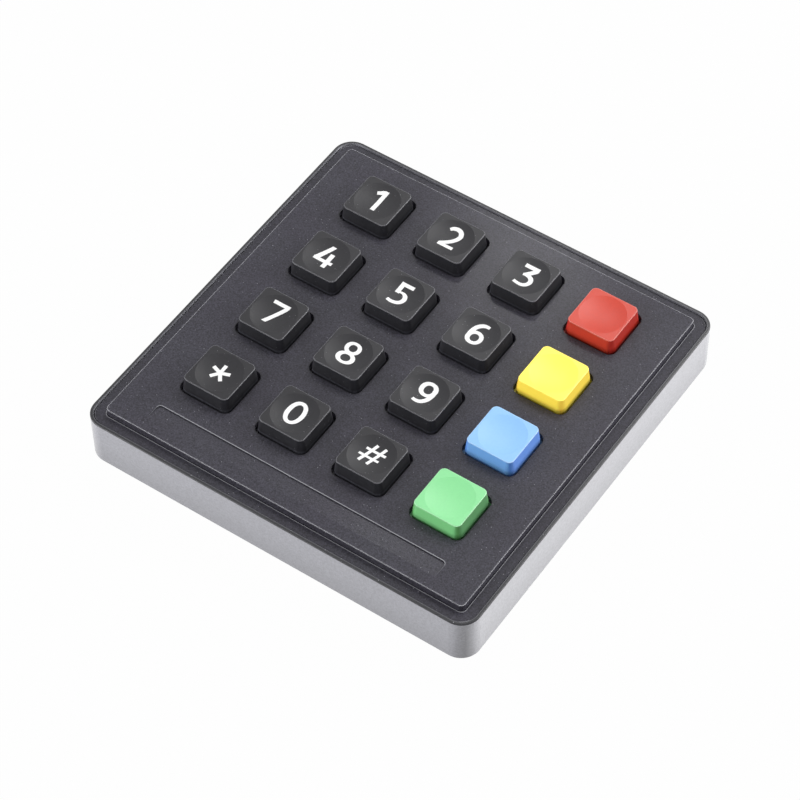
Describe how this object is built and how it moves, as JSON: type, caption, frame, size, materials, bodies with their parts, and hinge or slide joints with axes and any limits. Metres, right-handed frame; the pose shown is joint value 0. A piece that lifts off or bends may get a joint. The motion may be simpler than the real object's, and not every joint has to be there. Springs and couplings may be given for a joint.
{
  "type": "industrial keypad",
  "caption": "Square black keypad module for panel mounting, with dished number keys and a column of coloured function keys in a framed front.",
  "frame": {"origin": "centre of the surround's square outline, in the plane of its rear rim", "axes": "+X to the right along the top row of keys, +Y from the bottom row towards the top row, +Z out of the front, the way a key sticks out"},
  "size_m": [0.0954, 0.0952, 0.0163],
  "materials": {
    "case_black": "satin",
    "panel_black": "fine spark-eroded texture",
    "cover_black": "fine texture",
    "key_black": "satin",
    "key_red": "satin",
    "key_yellow": "satin",
    "key_blue": "satin",
    "key_green": "satin",
    "legend_white": "printed",
    "seal_rubber": "matt",
    "mat_rubber": "matt",
    "pill_carbon": "matt",
    "board_green": "solder mask",
    "header_white": "moulded",
    "pin_plated": "plated",
    "screw_steel": "zinc plated",
    "insert_brass": "turned"
  },
  "bodies": {
    "root": {"case": "case_black", "front_panel": "panel_black", "panel_seal": "seal_rubber", "key_mat": "mat_rubber", "pcb": "board_green", "header_shroud": "header_white", "header_pins": "pin_plated", "rear_cover": "cover_black", "cover_screws": "screw_steel", "mount_inserts": "insert_brass"},
    "button_1": {"key_1": "key_black", "pill_1": "pill_carbon"},
    "button_2": {"key_2": "key_black", "pill_2": "pill_carbon"},
    "button_3": {"key_3": "key_black", "pill_3": "pill_carbon"},
    "button_red": {"key_red": "key_red", "pill_red": "pill_carbon"},
    "button_4": {"key_4": "key_black", "pill_4": "pill_carbon"},
    "button_5": {"key_5": "key_black", "pill_5": "pill_carbon"},
    "button_6": {"key_6": "key_black", "pill_6": "pill_carbon"},
    "button_yellow": {"key_yellow": "key_yellow", "pill_yellow": "pill_carbon"},
    "button_7": {"key_7": "key_black", "pill_7": "pill_carbon"},
    "button_8": {"key_8": "key_black", "pill_8": "pill_carbon"},
    "button_9": {"key_9": "key_black", "pill_9": "pill_carbon"},
    "button_blue": {"key_blue": "key_blue", "pill_blue": "pill_carbon"},
    "button_star": {"key_star": "key_black", "pill_star": "pill_carbon"},
    "button_0": {"key_0": "key_black", "pill_0": "pill_carbon"},
    "button_hash": {"key_hash": "key_black", "pill_hash": "pill_carbon"},
    "button_green": {"key_green": "key_green", "pill_green": "pill_carbon"}
  },
  "joints": [
    {"name": "press_1", "type": "slide", "parent": "root", "child": "button_1", "axis": [0, 0, -1], "range_m": [0, 0.0012], "stiffness_N_per_m": 800, "springref_m": -0.0005, "deforming": ["key_mat"]},
    {"name": "press_2", "type": "slide", "parent": "root", "child": "button_2", "axis": [0, 0, -1], "range_m": [0, 0.0012], "stiffness_N_per_m": 800, "springref_m": -0.0005, "deforming": ["key_mat"]},
    {"name": "press_3", "type": "slide", "parent": "root", "child": "button_3", "axis": [0, 0, -1], "range_m": [0, 0.0012], "stiffness_N_per_m": 800, "springref_m": -0.0005, "deforming": ["key_mat"]},
    {"name": "press_red", "type": "slide", "parent": "root", "child": "button_red", "axis": [0, 0, -1], "range_m": [0, 0.0012], "stiffness_N_per_m": 800, "springref_m": -0.0005, "deforming": ["key_mat"]},
    {"name": "press_4", "type": "slide", "parent": "root", "child": "button_4", "axis": [0, 0, -1], "range_m": [0, 0.0012], "stiffness_N_per_m": 800, "springref_m": -0.0005, "deforming": ["key_mat"]},
    {"name": "press_5", "type": "slide", "parent": "root", "child": "button_5", "axis": [0, 0, -1], "range_m": [0, 0.0012], "stiffness_N_per_m": 800, "springref_m": -0.0005, "deforming": ["key_mat"]},
    {"name": "press_6", "type": "slide", "parent": "root", "child": "button_6", "axis": [0, 0, -1], "range_m": [0, 0.0012], "stiffness_N_per_m": 800, "springref_m": -0.0005, "deforming": ["key_mat"]},
    {"name": "press_yellow", "type": "slide", "parent": "root", "child": "button_yellow", "axis": [0, 0, -1], "range_m": [0, 0.0012], "stiffness_N_per_m": 800, "springref_m": -0.0005, "deforming": ["key_mat"]},
    {"name": "press_7", "type": "slide", "parent": "root", "child": "button_7", "axis": [0, 0, -1], "range_m": [0, 0.0012], "stiffness_N_per_m": 800, "springref_m": -0.0005, "deforming": ["key_mat"]},
    {"name": "press_8", "type": "slide", "parent": "root", "child": "button_8", "axis": [0, 0, -1], "range_m": [0, 0.0012], "stiffness_N_per_m": 800, "springref_m": -0.0005, "deforming": ["key_mat"]},
    {"name": "press_9", "type": "slide", "parent": "root", "child": "button_9", "axis": [0, 0, -1], "range_m": [0, 0.0012], "stiffness_N_per_m": 800, "springref_m": -0.0005, "deforming": ["key_mat"]},
    {"name": "press_blue", "type": "slide", "parent": "root", "child": "button_blue", "axis": [0, 0, -1], "range_m": [0, 0.0012], "stiffness_N_per_m": 800, "springref_m": -0.0005, "deforming": ["key_mat"]},
    {"name": "press_star", "type": "slide", "parent": "root", "child": "button_star", "axis": [0, 0, -1], "range_m": [0, 0.0012], "stiffness_N_per_m": 800, "springref_m": -0.0005, "deforming": ["key_mat"]},
    {"name": "press_0", "type": "slide", "parent": "root", "child": "button_0", "axis": [0, 0, -1], "range_m": [0, 0.0012], "stiffness_N_per_m": 800, "springref_m": -0.0005, "deforming": ["key_mat"]},
    {"name": "press_hash", "type": "slide", "parent": "root", "child": "button_hash", "axis": [0, 0, -1], "range_m": [0, 0.0012], "stiffness_N_per_m": 800, "springref_m": -0.0005, "deforming": ["key_mat"]},
    {"name": "press_green", "type": "slide", "parent": "root", "child": "button_green", "axis": [0, 0, -1], "range_m": [0, 0.0012], "stiffness_N_per_m": 800, "springref_m": -0.0005, "deforming": ["key_mat"]}
  ]
}
